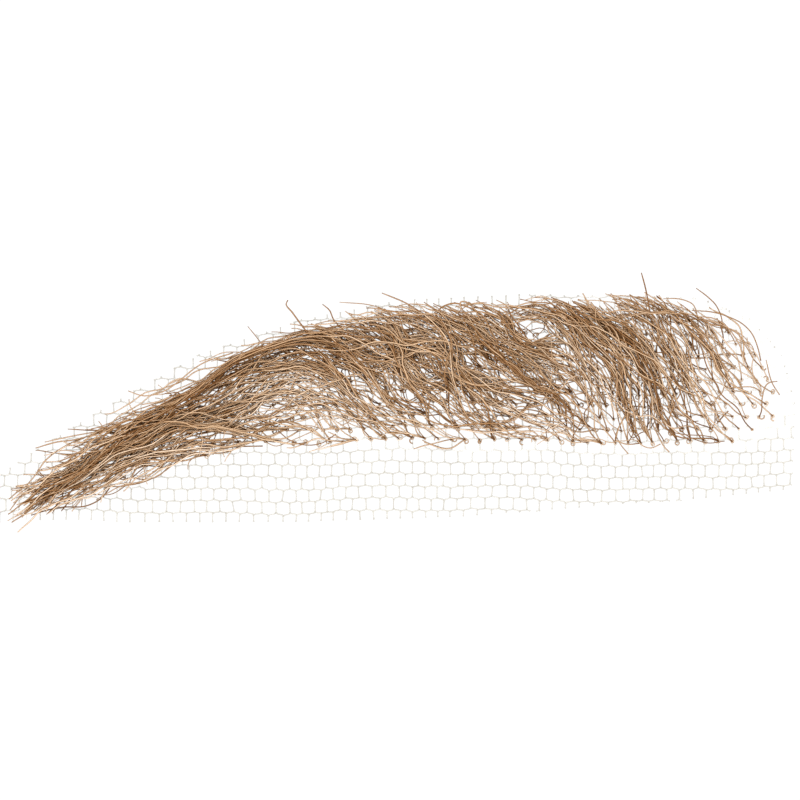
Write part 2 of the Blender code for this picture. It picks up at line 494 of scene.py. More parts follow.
@dataclass
class LaceNet:
    """The strip of hexagonal net with its raw cut edges.

    The net lies on the floor. Rows of upright threads are joined by low roofs, and
    each joint stands a little out of its place, as on real knitted net.
    """

    chart: PhotoChart
    cell_width: float = 1.113 * MM
    upright: float = 0.815 * MM
    roof: float = 0.188 * MM
    corner: float = 0.14
    thread_radius: float = 0.061 * MM
    joint_swell: float = 1.22
    cut_swell: float = 1.4
    slack: float = 0.030 * MM
    lie: float = 0.088 * MM
    ripple: float = 0.10 * MM
    rise: float = 0.17 * MM
    shortest_cut: float = 0.12
    seed: int = 11

    # Shades of the threads, which are paler under the hair, as painted light against the hair's shade on
    # them, and towards the front's upper corner
    thread_tones: tuple[float, float] = (0.3, 0.7)
    cut_tone: float = 0.2
    painted_light_under_hair: float = 0.35
    pale_corner: float = 0.8
    pale_start: float = 22 * MM
    pale_length: float = 16 * MM

    # The strip's raw edge, in pixels
    outline: tuple[tuple[float, float], ...] = (
        (-4, 478), (-4, 523), (300, 522), (457, 517), (512, 513), (612, 505), (700, 499),
        (792, 489), (795, 400), (781, 354), (752, 320), (704, 299), (600, 295), (500, 295),
        (400, 300), (300, 320), (200, 354), (100, 410), (20, 460),
    )
    joints: dict[tuple[int, int, int], np.ndarray] = field(default_factory=dict)

    def __post_init__(self) -> None:
        """Lay out the joints once."""
        rng = np.random.default_rng(self.seed)
        low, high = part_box("lace_net")
        step = self.upright + self.roof
        rows = int((high.y - low.y) / step) + 4
        columns = int((high.x - low.x) / self.cell_width) + 4
        for row in range(rows):
            for column in range(columns):
                x = low.x + (column - 1 + 0.5 * (row % 2)) * self.cell_width
                y = low.y - 0.5 * step + row * step + self.rise
                for end, lift in ((0, 0.0), (1, self.upright)):
                    stray = rng.normal(0.0, self.slack, 2)
                    self.joints[(row, column, end)] = np.array((x, y + lift)) + stray + self.warp(x, y)

    def warp(self, x: float, y: float) -> np.ndarray:
        """Give how far the whole net is drawn out of square at a place.

        Args:
            x: the place's x.
            y: the place's y.

        Returns:
            The shift of x and y.
        """
        u, v = x / MM, y / MM
        return np.array((
            0.16 * math.sin(0.31 * v + 0.21 * u) + 0.10 * math.sin(0.67 * u + 1.3),
            0.17 * math.sin(0.19 * u + 0.8) + 0.09 * math.sin(0.53 * u - 0.35 * v),
        )) * MM

    def height(self, places: np.ndarray) -> np.ndarray:
        """Give how high the net's threads lie over the floor.

        Args:
            places: rows of x and y.

        Returns:
            The height of a thread's middle at each of them.
        """
        u, v = places[:, 0] / MM, places[:, 1] / MM
        wave = np.sin(0.42 * u + 0.6 * v) * np.sin(0.23 * u - 0.5 * v + 1.0)
        return self.lie + self.ripple * 0.5 * (1.0 + wave)

    def threads(self) -> list[tuple[np.ndarray, np.ndarray]]:
        """List the threads between joints.

        Returns:
            The x and y of each thread's two ends.
        """
        pairs = []
        for (row, column, end), place in self.joints.items():
            if end == 0:
                pairs.append((place, self.joints[(row, column, 1)]))
                continue
            shift = column + (row % 2)
            for neighbour in (shift - 1, shift):
                above = self.joints.get((row + 1, neighbour, 0))
                if above is not None:
                    pairs.append((place, above))
        return pairs

    def build(self, material: bpy.types.Material) -> bpy.types.Object:
        """Build the net's threads, cut off at its outline.

        Args:
            material: the thread's finish.

        Returns:
            The net as one object.
        """
        rng = np.random.default_rng(self.seed + 1)
        edge = self.chart.place(self.outline)
        cover = self.chart.place(HAIR_OUTLINE)
        net = Strands("lace_net_threads", sides=5)
        share = np.linspace(0.0, 1.0, 7)[:, None]
        for start, stop in self.threads():
            sag = rng.normal(0.0, 0.35 * self.slack)
            kept = inside(np.array([start, stop]), edge)
            if not kept.any():
                continue
            if not kept[0]:
                start, stop = stop, start
            run = stop - start
            length = 1.0 if kept.all() else self.cut_share(start, stop, edge)
            line = start + run * share * length
            bow = np.sin(np.pi * share * length) * sag
            line = line + bow * np.array((-run[1], run[0])) / np.linalg.norm(run)
            if abs(run[0]) > abs(run[1]):
                line[:, 1] += run[1] * self.corner * np.sin(2 * np.pi * share[:, 0] * length)
            radius = self.thread_radius * rng.uniform(0.88, 1.12)
            profile = np.array((self.joint_swell, 1.1, 0.95, 0.92, 0.95, 1.1, self.joint_swell))
            towards = (line[:, 0] + 1.5 * line[:, 1] - self.pale_start) / self.pale_length
            covered = float(inside(line[3:4], cover)[0])
            tone = rng.uniform(*self.thread_tones) + self.pale_corner * ease(towards)
            # painted light: threads under the hair are made paler to offset the shade the hair casts on them
            tone += self.painted_light_under_hair * covered
            if length < 1.0:
                profile[-1] = self.cut_swell
                tone[-2:] = self.cut_tone
            net.add(np.column_stack((line, self.height(line))), radius * profile, tone)
        return net.build(material)

    def cut_share(self, start: np.ndarray, stop: np.ndarray, edge: np.ndarray) -> float:
        """Find where the outline cuts a thread.

        Args:
            start: the end that lies inside.
            stop: the end that lies outside.
            edge: the outline's corners.

        Returns:
            The share of the thread that is left.
        """
        shares = np.linspace(0.0, 1.0, 21)
        kept = inside(start + (stop - start) * shares[:, None], edge)
        return float(max(self.shortest_cut, shares[kept].max()))


HAIR_OUTLINE: tuple[tuple[float, float], ...] = (
    (8, 492), (20, 477), (40, 454), (80, 435), (120, 407), (160, 387), (200, 367), (240, 347),
    (280, 333), (320, 321), (360, 314), (400, 310), (440, 308), (480, 305), (520, 303), (560, 301),
    (600, 299), (640, 298), (680, 304), (715, 311), (738, 324), (754, 340), (766, 356), (784, 394),
    (780, 430), (740, 450), (640, 458), (440, 452), (340, 448), (280, 450), (240, 455), (200, 460),
    (170, 472), (140, 486), (100, 499), (60, 507), (40, 513), (10, 523), (4, 510),
)


def zone_locks(zone: Zone, *rows: tuple) -> tuple[Lock, ...]:
    """Make a zone's locks from rows of a path and the lock's other values in order."""
    return tuple(Lock(zone, *row) for row in rows)


FRONT_LOCKS = zone_locks(
    Zone.FRONT,
    (((759, 363), (755, 340), (741, 323), (717, 313), (690, 310)), 6, 5, 5, 7, 1.3),
    (((744, 362), (738, 342), (724, 327), (697, 316), (662, 305)), 10, 8, 6, 8, 1.6),
    (((779, 396), (769, 376), (763, 354)), 4, 5, 5, 5, 0.9),
    (((767, 418), (748, 400), (727, 372), (708, 345), (688, 318)), 10, 14, 9, 9, 1.5),
    (((757, 430), (735, 410), (714, 380), (700, 350), (682, 314)), 12, 16, 10, 12, 1.8),
    (((750, 385), (736, 368), (722, 346), (704, 327), (676, 306)), 10, 12, 8, 12, 1.4),
    (((730, 431), (706, 409), (690, 383), (674, 352), (652, 318)), 16, 14, 10, 14, 2.2),
    (((716, 396), (701, 366), (688, 338), (668, 312), (640, 296)), 9, 14, 12, 14, 1.9),
    (((712, 330), (694, 308), (676, 298), (650, 292)), 6, 12, 10, 12, 1.8),
    (((699, 445), (690, 420), (681, 385), (672, 350), (658, 308)), 12, 14, 10, 14, 1.7),
    (((690, 344), (672, 322), (652, 305), (626, 292)), 7, 12, 10, 12, 2.3),
    (((700, 318), (672, 311), (640, 313), (605, 318), (575, 318)), 4, 6, 8, 12, 2.8),
)

ARCH_LOCKS = zone_locks(
    Zone.ARCH,
    (((700, 445), (672, 414), (656, 375), (640, 350), (615, 328), (584, 306)), 20, 16, 10, 14, 2.6),
    (((722, 424), (698, 396), (664, 366), (634, 341), (606, 316), (572, 300)), 16, 16, 10, 14, 3.0),
    (((668, 445), (655, 408), (643, 376), (622, 346), (596, 320), (558, 302)), 16, 16, 10, 14, 2.4),
    (((641, 444), (625, 402), (617, 366), (594, 340), (572, 316), (545, 306), (515, 311)
     ), 20, 14, 10, 8, 2.7),
    (((627, 438), (622, 400), (608, 373), (585, 349), (564, 325), (540, 309), (506, 318)
     ), 16, 12, 10, 8, 2.2),
    (((601, 430), (594, 392), (577, 358), (560, 332), (543, 317), (520, 321)), 12, 14, 12, 10, 1.8),
    (((655, 362), (634, 338), (612, 318), (588, 303), (560, 294)), 9, 12, 10, 12, 2.9),
    (((668, 345), (650, 323), (634, 307), (608, 294)), 6, 10, 8, 10, 2.5),
    (((640, 322), (628, 303), (612, 297), (602, 306), (598, 322)), 3, 4, 5, 5, 3.0),
    (((567, 444), (556, 400), (533, 388), (506, 367), (480, 345), (452, 332)), 22, 16, 11, 12, 2.6),
    (((600, 440), (574, 414), (549, 393), (513, 372), (487, 349), (455, 330)), 20, 16, 10, 12, 2.9),
    (((576, 352), (560, 344), (543, 346), (524, 352), (505, 352)), 12, 14, 13, 8, 1.4),
    (((532, 349), (517, 330), (505, 316), (488, 307), (458, 311)), 14, 12, 9, 8, 2.4),
    (((552, 386), (530, 370), (510, 362), (490, 362), (468, 357)), 10, 14, 12, 10, 1.5),
    (((600, 445), (570, 429), (540, 420), (505, 410), (470, 394)), 11, 16, 14, 14, 1.3),
    (((552, 443), (520, 433), (490, 428), (462, 418), (432, 398)), 14, 14, 12, 12, 1.5),
    (((640, 443), (612, 428), (590, 405), (566, 388), (540, 372)), 7, 16, 12, 12, 1.6),
    (((596, 392), (570, 372), (550, 358), (526, 345), (500, 334)), 12, 12, 12, 12, 2.1),
    (((654, 442), (636, 412), (618, 384), (596, 356), (575, 338)), 14, 12, 12, 12, 1.8),
    (((664, 352), (650, 326), (634, 312), (606, 308)), 7, 10, 9, 10, 1.9),
    (((524, 336), (505, 315), (484, 305), (460, 304)), 9, 12, 12, 10, 1.9),
)

MIDDLE_LOCKS = zone_locks(
    Zone.MIDDLE,
    (((484, 348), (459, 330), (439, 320), (414, 314), (385, 313), (350, 316), (308, 331)
     ), 18, 9, 8, 9, 2.7),
    (((510, 346), (482, 328), (455, 314), (425, 303), (388, 299)), 10, 10, 10, 10, 2.3),
    (((423, 409), (390, 406), (371, 379), (355, 360), (336, 343), (306, 332)), 20, 8, 8, 12, 2.9),
    (((449, 427), (416, 393), (403, 366), (393, 340), (374, 323), (346, 318)), 18, 14, 12, 12, 2.4),
    (((483, 421), (459, 394), (449, 367), (444, 345), (423, 323), (390, 309)), 20, 14, 12, 12, 2.8),
    (((402, 411), (366, 398), (346, 386), (332, 366), (316, 352), (292, 343)), 14, 10, 8, 10, 2.2),
    (((504, 441), (478, 407), (460, 376), (448, 352), (425, 334)), 14, 12, 10, 10, 2.0),
    (((486, 352), (452, 346), (420, 345), (392, 353), (360, 362)), 14, 12, 11, 12, 2.1),
    (((524, 402), (495, 387), (470, 379), (440, 381), (412, 394)), 12, 14, 12, 10, 1.4),
    (((486, 439), (450, 433), (420, 435), (390, 428), (356, 417)), 4, 10, 12, 12, 1.2),
    (((470, 442), (450, 449), (425, 443), (402, 430)), 2, 3, 3, 4, 0.7),
    (((440, 444), (410, 425), (385, 400), (370, 375), (345, 356)), 12, 12, 10, 12, 1.7),
    (((410, 444), (380, 424), (355, 400), (335, 382), (300, 372)), 12, 14, 12, 12, 1.5),
    (((512, 432), (476, 408), (444, 380), (420, 352), (390, 335)), 15, 12, 12, 12, 2.0),
    (((486, 438), (458, 414), (430, 394), (402, 368), (374, 350)), 13, 12, 12, 12, 1.7),
    (((372, 430), (346, 412), (324, 404), (300, 404), (276, 408)), 8, 12, 12, 12, 1.3),
)

TAIL_LOCKS = zone_locks(
    Zone.TAIL,
    (((384, 408), (364, 406), (349, 393), (332, 376), (312, 368), (276, 366), (232, 363)
     ), 14, 9, 8, 10, 1.9),
    (((372, 352), (340, 343), (312, 339), (286, 343), (260, 351), (234, 363), (198, 389), (168, 407),
     (134, 428)), 40, 12, 5, 7, 2.8),
    (((330, 322), (302, 327), (278, 337), (252, 350), (228, 367), (198, 388), (170, 405)
     ), 26, 8, 5, 7, 2.6),
    (((345, 346), (315, 340), (290, 338), (265, 346), (243, 360), (215, 380)), 14, 12, 11, 10, 2.0),
    (((330, 383), (300, 384), (276, 390), (252, 400), (228, 411), (204, 423)), 11, 9, 8, 8, 1.6),
    (((352, 362), (318, 366), (290, 364), (262, 372), (240, 386), (222, 402)), 10, 11, 9, 8, 1.6),
    (((262, 380), (240, 384), (218, 396), (200, 412), (180, 430)), 9, 12, 9, 10, 1.7),
    (((352, 440), (330, 416), (308, 400), (284, 395), (258, 401), (228, 413)), 8, 14, 12, 12, 1.3),
    (((300, 436), (276, 440), (252, 436), (222, 430), (198, 427), (174, 424), (150, 429)
     ), 11, 3, 3, 6, 1.5),
    (((352, 436), (320, 430), (290, 426), (256, 421), (222, 419), (186, 420)), 7, 10, 10, 10, 1.4),
    (((268, 440), (223, 428), (198, 424), (174, 419), (148, 428), (116, 440)), 16, 9, 8, 10, 2.4),
    (((262, 445), (235, 445), (205, 448), (178, 449), (150, 452), (118, 458)), 7, 6, 8, 9, 1.2),
    (((238, 366), (208, 371), (180, 388), (150, 402), (122, 420)), 12, 6, 8, 10, 1.8),
    (((150, 420), (116, 430), (86, 436), (60, 446)), 9, 12, 10, 12, 1.5),
    (((176, 462), (152, 470), (128, 474), (100, 480)), 6, 6, 6, 6, 1.2),
    (((262, 361), (232, 371), (199, 390), (166, 409), (133, 429), (104, 451), (78, 474), (50, 492),
     (16, 521)), 30, 14, 12, 9, 2.6),
    (((218, 430), (182, 423), (149, 438), (116, 449), (92, 466), (66, 481), (36, 504)), 18, 14, 10, 8, 2.0),
    (((232, 450), (182, 456), (141, 460), (106, 477), (74, 490), (30, 512)), 16, 10, 8, 7, 1.5),
    (((178, 466), (149, 481), (106, 486), (70, 499), (34, 510)), 5, 6, 5, 6, 0.8),
    (((208, 370), (165, 393), (131, 410), (113, 424), (92, 433), (66, 439), (36, 448)), 12, 10, 9, 10, 1.7),
    (((192, 397), (150, 419), (116, 432), (80, 455), (54, 470), (38, 485), (12, 501)), 14, 14, 10, 8, 2.3),
    (((202, 431), (150, 446), (110, 456), (78, 467), (48, 481), (13, 488)), 12, 14, 10, 9, 1.6),
    (((160, 421), (120, 437), (90, 443), (62, 447), (34, 453)), 8, 12, 10, 12, 1.4),
    (((188, 455), (150, 462), (120, 466), (94, 471), (68, 482), (28, 510)), 12, 10, 8, 8, 1.4),
    (((142, 470), (110, 479), (84, 491), (62, 511)), 4, 6, 8, 6, 0.9),
)

STRAY_HAIRS = tuple(Stray(*row) for row in (
    (2.4, ((234, 353), (203, 364), (166, 391), (146, 396), (130, 391))),
    (3.0, ((325, 350), (312, 338), (301, 324), (293, 313), (287, 305), (289, 301))),
    (3.0, ((282, 366), (270, 354), (258, 338), (249, 327))),
    (2.8, ((358, 342), (344, 331), (334, 320), (330, 311), (323, 305))),
    (2.9, ((395, 318), (375, 307), (340, 303))),
    (3.1, ((425, 316), (408, 305), (382, 294))),
    (3.2, ((648, 312), (644, 292), (639, 274))),
    (2.4, ((720, 332), (720, 320), (714, 306), (706, 298), (694, 289))),
    (2.2, ((759, 361), (756, 348), (750, 334), (740, 324), (728, 318), (712, 313), (690, 311))),
    (2.0, ((744, 360), (736, 342), (724, 326), (712, 319), (694, 317))),
    (1.8, ((778, 395), (770, 382), (764, 360))),
    (2.9, ((480, 322), (474, 310), (466, 303), (460, 303), (461, 310))),
    (2.8, ((434, 319), (440, 309), (454, 304), (470, 309))),
    (3.0, ((446, 326), (456, 314), (470, 305), (486, 303))),
    (0.9, ((660, 444), (650, 448), (640, 444), (634, 432), (630, 416), (622, 398))),
    (0.8, ((651, 408), (650, 420), (644, 428), (636, 428), (630, 418), (627, 402))),
    (0.7, ((658, 408), (654, 422), (648, 430), (640, 433), (632, 438), (627, 430))),
    (0.9, ((724, 441), (708, 443), (696, 440), (684, 434), (674, 422), (664, 402))),
    (0.8, ((698, 421), (686, 422), (676, 417), (668, 402), (660, 380))),
    (0.6, ((728, 411), (722, 417), (716, 424))),
    (0.5, ((669, 452), (664, 447), (658, 436), (650, 420))),
    (0.5, ((628, 454), (620, 444), (612, 428))),
    (1.0, ((318, 429), (300, 437), (288, 442), (276, 446), (264, 440), (252, 428), (246, 420))),
    (0.9, ((336, 434), (322, 443), (306, 445), (290, 440), (276, 428), (268, 418))),
    (0.8, ((249, 434), (240, 446), (227, 452), (214, 453), (202, 450))),
    (0.8, ((263, 446), (234, 447), (216, 450), (194, 450), (172, 454))),
    (0.8, ((240, 434), (228, 441), (222, 449))),
    (1.6, ((252, 436), (222, 430), (198, 427), (174, 424), (156, 422))),
    (1.5, ((253, 435), (224, 429), (200, 425), (172, 425), (150, 430))),
    (1.0, ((180, 459), (164, 472), (144, 482), (122, 486), (96, 487), (74, 490))),
    (0.9, ((172, 464), (160, 475), (150, 479), (132, 478))),
    (0.8, ((131, 482), (112, 494), (90, 494), (64, 496), (44, 503))),
    (0.8, ((112, 485), (102, 498), (86, 506), (64, 507), (48, 510), (32, 515))),
    (0.6, ((72, 496), (68, 503), (62, 511))),
    (0.6, ((85, 490), (83, 498), (82, 506))),
    (1.2, ((56, 496), (40, 504), (24, 515), (13, 522))),
    (1.3, ((124, 425), (102, 430), (69, 429))),
    (1.3, ((110, 430), (84, 434), (64, 438), (46, 442))),
    (1.4, ((104, 432), (74, 440), (58, 442), (37, 448))),
    (1.1, ((92, 452), (69, 454), (37, 450))),
    (1.2, ((100, 432), (70, 444), (48, 459), (35, 477), (26, 487))),
    (1.0, ((84, 472), (61, 480), (32, 486), (12, 489))),
    (1.0, ((70, 468), (48, 480), (24, 494), (11, 510))),
    (1.0, ((62, 474), (37, 483), (21, 490), (10, 499))),
))


class FlowField:
    """The way the hair runs at each place over the net, mixed from all the locks near it."""

    def __init__(self, locks: tuple[Lock, ...], lines: list[np.ndarray], blur: float, cell: float) -> None:
        """Mix the field on a grid.

        Args:
            locks: the charted locks.
            lines: each lock's line in metres.
            blur: how far a lock's run is felt on each side of it.
            cell: the grid's step.
        """
        points, runs, weights, levels = [], [], [], []
        for lock, line in zip(locks, lines):
            points.append(line[::2])
            runs.append(np.gradient(line, axis=0)[::2])
            weights.append(np.full(len(line[::2]), lock.hairs))
            levels.append(np.full(len(line[::2]), lock.level))
        points, runs = np.vstack(points), np.vstack(runs)
        weights, levels = np.concatenate(weights), np.concatenate(levels)
        runs *= weights[:, None]
        self.cell = cell
        self.corner = points.min(axis=0) - 3 * blur
        size = np.ceil((points.max(axis=0) + 3 * blur - self.corner) / cell).astype(int)
        self.values = np.zeros((size[0], size[1], 4))
        for column in range(size[0]):
            x = self.corner[0] + column * cell
            y = self.corner[1] + np.arange(size[1]) * cell
            gaps = (points[:, 0] - x)[None] ** 2 + (points[:, 1][None] - y[:, None]) ** 2
            near = np.exp(-gaps / (2 * blur**2))
            total = near @ weights
            mixed = near @ runs
            mixed /= np.maximum(np.linalg.norm(mixed, axis=1, keepdims=True), 1e-30)
            level = (near @ (weights * levels)) / np.maximum(total, 1e-30)
            self.values[column] = np.column_stack((mixed, total, level))
        self.values[:, :, 2] /= self.values[:, :, 2].max()

    def read(self, places: np.ndarray) -> np.ndarray:
        """Read the field between its grid's points.

        Args:
            places: rows of x and y.

        Returns:
            Rows of the run's x and y, the hair's thickness up to 1, and its level.
        """
        at = (places - self.corner) / self.cell
        limit = np.array(self.values.shape[:2]) - 2
        base = np.clip(np.floor(at).astype(int), 0, limit)
        u, v = np.clip(at - base, 0.0, 1.0).T[:, :, None]
        i, j = base.T
        low = self.values[i, j] * (1 - u) + self.values[i + 1, j] * u
        high = self.values[i, j + 1] * (1 - u) + self.values[i + 1, j + 1] * u
        return low * (1 - v) + high * v


@dataclass
class Groom:
    """Grows the hair out of the joints of the net.

    At each joint, some hairs leave together, swing into a lock near it and keep to its
    run with small waves of their own. The others, a loose_share, follow the flow of the
    hair around them, and a wild_share of these are fine, short and curled.
    """

    chart: PhotoChart
    net: LaceNet
    samples: int = 28
    hair_radius: float = 0.057 * MM
    hair_widths: tuple[float, float] = (0.72, 1.22)
    tip_taper: float = 0.30
    spread: float = 1.6
    blur: float = 0.95 * MM
    field_cell: float = 0.35 * MM
    bunches: tuple[int, ...] = (1, 2, 2)
    loose_share: float = 0.6
    loose_tries: int = 3
    wild_share: float = 0.30
    wild_radius: float = 0.8
    loose_length: tuple[float, float] = (7.0 * MM, 17.0 * MM)
    wild_length: tuple[float, float] = (3.0 * MM, 8.5 * MM)
    shortest: float = 1.4 * MM
    steps: int = 56
    least_steps: int = 12
    thin_edge: float = 0.13
    join_length: float = 2.6 * MM
    rise_length: float = 1.3 * MM
    reach: float = 0.75 * MM
    wave: float = 0.13 * MM
    wander: float = 0.55 * MM
    crimp: float = 0.032 * MM
    crimp_mm: tuple[float, float] = (1.6, 2.8)
    wave_length: float = 5.5 * MM
    least_share: float = 0.16
    root_height: float = 0.16 * MM
    lock_levels: tuple[float, float] = (0.72, 1.12)
    loose_levels: tuple[float, float] = (0.35, 1.15)
    tip_fall: float = 0.35
    bob: float = 0.10 * MM
    overshoot: float = 0.55 * MM
    seed: int = 8

    # How far loose and wild hairs turn off the flow, in radians
    loose_lean: tuple[float, float] = (0.36, 0.19)
    loose_sway: tuple[float, float, float] = (0.22, 0.12, 0.11)
    wild_lean: tuple[float, float] = (0.55, 0.75)
    wild_sway: tuple[float, float] = (0.35, 0.20)
    wild_curl_mm: tuple[tuple[float, float], ...] = ((2.5, 5.0), (1.2, 2.2))

    # Shades of the hair, from 0, dark, to 1, light
    mean_tone: float = 0.86
    tone_spread: float = 0.08
    dark_share: float = 0.22
    dark_step: float = 0.26
    # painted_deep_light is painted light on hairs that lie low under the others, and painted_core_shade is
    # painted shade in the thick of the hair
    painted_deep_light: float = 0.08
    painted_core_shade: float = 0.24
    # The knots' tones lie above the hair's: painted light that offsets the shade inside their tight coils
    knot_tones_painted_light: tuple[float, float] = (0.8, 1.35)
    stray_tones: tuple[float, float] = (0.4, 0.75)

    # Hairs at each joint of the net, by pixels across the photograph
    fullness: tuple[tuple[float, float], ...] = (
        (0, 1.0), (120, 2.5), (400, 2.8), (560, 2.2), (640, 2.3), (700, 0.8), (790, 0.2),
    )

    # Outline of the joints that carry hair, in pixels
    rooted: tuple[tuple[float, float], ...] = (
        (272, 449), (300, 447), (500, 448), (725, 449), (752, 436), (770, 424), (782, 396), (764, 350),
        (735, 328), (690, 322), (560, 322), (430, 318), (320, 332), (255, 358), (190, 398), (120, 436),
        (70, 468), (40, 490), (60, 496), (130, 477), (185, 462), (230, 451),
    )

    # Open places in the hair: across, down and radius in pixels, and the share of hairs kept off
    clearings: tuple[tuple[float, float, float, float], ...] = (
        (530, 330, 9, 0.85), (367, 393, 6, 0.6), (395, 377, 5, 0.4), (463, 360, 5, 0.5), (505, 372, 6, 0.6),
        (267, 409, 7, 0.4), (233, 397, 5, 0.4), (217, 392, 4, 0.4), (234, 415, 7, 0.5), (286, 417, 7, 0.4),
        (321, 405, 5, 0.3), (205, 403, 5, 0.6), (253, 376, 4, 0.6), (300, 440, 10, 0.7), (217, 436, 6, 0.6),
        (674, 326, 6, 0.4), (641, 333, 5, 0.3), (728, 344, 6, 0.5), (597, 363, 5, 0.6), (400, 430, 13, 0.45),
        (440, 436, 10, 0.4), (350, 437, 10, 0.4), (570, 396, 8, 0.4), (608, 424, 7, 0.4), (602, 303, 9, 0.7),
        (20, 476, 9, 0.7), (18, 504, 12, 0.35), (78, 488, 8, 0.4),
    )

    def __post_init__(self) -> None:
        """Read every lock as a smooth path in metres."""
        self.locks = FRONT_LOCKS + ARCH_LOCKS + MIDDLE_LOCKS + TAIL_LOCKS
        self.lines = [smooth_path(self.chart.place(lock.path), 80) for lock in self.locks]
        self.sides = [side_vectors(line) for line in self.lines]
        self.edge = self.chart.place(HAIR_OUTLINE)
        table = np.array(self.clearings)
        self.clear = self.chart.place(table[:, :2])
        self.clear_radius = table[:, 2] * self.chart.scale
        self.clear_share = table[:, 3]
        self.field = FlowField(self.locks, self.lines, self.blur, self.field_cell)
        self.rng = np.random.default_rng(self.seed)
        self.knots: list[tuple[np.ndarray, float]] = []

    def knot_places(self) -> np.ndarray:
        """Give the net's joints that carry hair."""
        tops = np.array([place for (_, _, end), place in self.net.joints.items() if end == 1])
        return tops[inside(tops, self.chart.place(self.rooted))]

    def choose(self, knot: np.ndarray) -> tuple[int, int]:
        """Choose the lock that a knot's hairs join, and where on it they start.

        Args:
            knot: the knot's x and y.

        Returns:
            The lock's number and the sample on its line.
        """
        weights = np.zeros(len(self.locks))
        nearest = np.zeros(len(self.locks), int)
        for number, line in enumerate(self.lines):
            gaps = np.linalg.norm(line - knot, axis=1)
            nearest[number] = int(gaps.argmin())
            early = 1.02 - nearest[number] / (len(line) - 1)
            near = math.exp(-((gaps.min() / self.reach) ** 2))
            weights[number] = self.locks[number].hairs * (near + 1e-9) * max(early, 0.0) ** 1.6
        number = int(self.rng.choice(len(self.locks), p=weights / weights.sum()))
        return number, nearest[number]

    def grow(
        self, number: int, first: int, knot: np.ndarray, drift: tuple[float, float], end: float
    ) -> np.ndarray:
        """Run one hair from a knot along a lock.

        Args:
            number: the lock's number.
            first: the sample on its line where the hair starts.
            knot: the knot's x and y.
            drift: where the hair lies across the lock at its start and at its end, from -1 to 1.
            end: the share of the lock's line where the hair ends.

        Returns:
            Rows of x, y and z.
        """
        lock, line, side = self.locks[number], self.lines[number], self.sides[number]
        size = len(line) - 1
        last = max(end * size, first + self.least_share * size)
        at = np.linspace(first, last, self.samples)
        inner = np.clip(at, 0, size)
        flat = np.column_stack([np.interp(inner, range(size + 1), line[:, axis]) for axis in (0, 1)])
        beyond = (at - inner)[:, None] * (line[-1] - line[-2])
        across = np.column_stack([np.interp(inner, range(size + 1), side[:, axis]) for axis in (0, 1)])
        share = inner / size
        scale = self.chart.scale
        width = np.where(
            share < 0.5,
            lock.root + (lock.waist - lock.root) * ease(share * 2),
            lock.waist + (lock.tip - lock.waist) * ease(share * 2 - 1),
        ) * scale * self.spread
        run = np.concatenate(([0.0], np.cumsum(np.linalg.norm(np.diff(flat, axis=0), axis=1))))
        along = np.linspace(0.0, 1.0, self.samples)
        lateral = width / 2 * (drift[0] + (drift[1] - drift[0]) * ease(along))
        phases = self.rng.uniform(0, 2 * math.pi, 2)
        wave_length = self.wave_length * self.rng.uniform(0.7, 1.5)
        swing = np.sin(2 * math.pi * run / wave_length + phases[0])
        swing += 0.45 * np.sin(2 * math.pi * run / (0.43 * wave_length) + phases[1])
        ease_off = min(max(lock.waist / 9.0, 0.3), 1.2)
        lateral = lateral + swing * self.wave * self.rng.uniform(0.3, 1.3) * ease_off
        lateral += self.crimp * np.sin(2 * math.pi * run / self.rng.uniform(*self.crimp_mm) / MM + phases[1])
        lateral += self.rng.normal(0.0, self.wander) * ease_off * along**2
        body = flat + beyond + across * lateral[:, None]
        hold = 1.0 - ease(run / self.join_length)
        body += (knot - body[0]) * hold[:, None]
        rise = 1.0 - np.exp(-run / self.rise_length)
        fall = 1.0 - self.tip_fall * ease((along - 0.6) / 0.4)
        height = self.root_height + lock.level * MM * self.rng.uniform(*self.lock_levels) * rise * fall
        height += rise * self.bob * np.sin(2 * math.pi * run / (1.4 * wave_length) + phases[1])
        return np.column_stack((body, height))

    def trim(self, path: np.ndarray, free: int) -> np.ndarray:
        """End a hair where it leaves the brow's outline, some sooner and some later.

        Args:
            path: the hair's rows of x, y and z.
            free: how many of its first places may lie outside.

        Returns:
            The hair's rows again, as many as before.
        """
        drop = np.array((0.0, self.overshoot * self.rng.uniform(-2.0, 1.0)))
        outside = ~inside(path[:, :2] - drop, self.edge)
        outside[:free] = False
        if not outside.any():
            return path
        return smooth_path(path[: max(int(outside.argmax()), 4)], self.samples)

    def radii(self) -> np.ndarray:
        """Draw how thick one hair is.

        Returns:
            Its radius at each sample, tapering at its tip.
        """
        along = np.linspace(0.0, 1.0, self.samples)
        taper = 1.0 - self.tip_taper * ease((along - 0.80) / 0.20)
        return self.hair_radius * self.rng.uniform(*self.hair_widths) * taper

    def plant(self, bundles: dict[Zone, Strands]) -> None:
        """Grow the hairs of every knot.

        Args:
            bundles: the bundle of each zone, which the zone's hairs go into.
        """
        across, fullness = np.array(self.fullness).T
        for knot in self.knot_places():
            self.knots.append((knot, self.rng.uniform(*self.knot_tones_painted_light)))
            more = self.rng.poisson(np.interp(knot[0], self.chart.across(across), fullness))
            for _ in range(1 + more):
                if self.rng.random() < self.loose_share:
                    any(self.loose(bundles, knot) for _ in range(self.loose_tries))
                    continue
                number, first = self.choose(knot)
                self.clump(bundles, number, first, knot, int(self.rng.choice(self.bunches)))

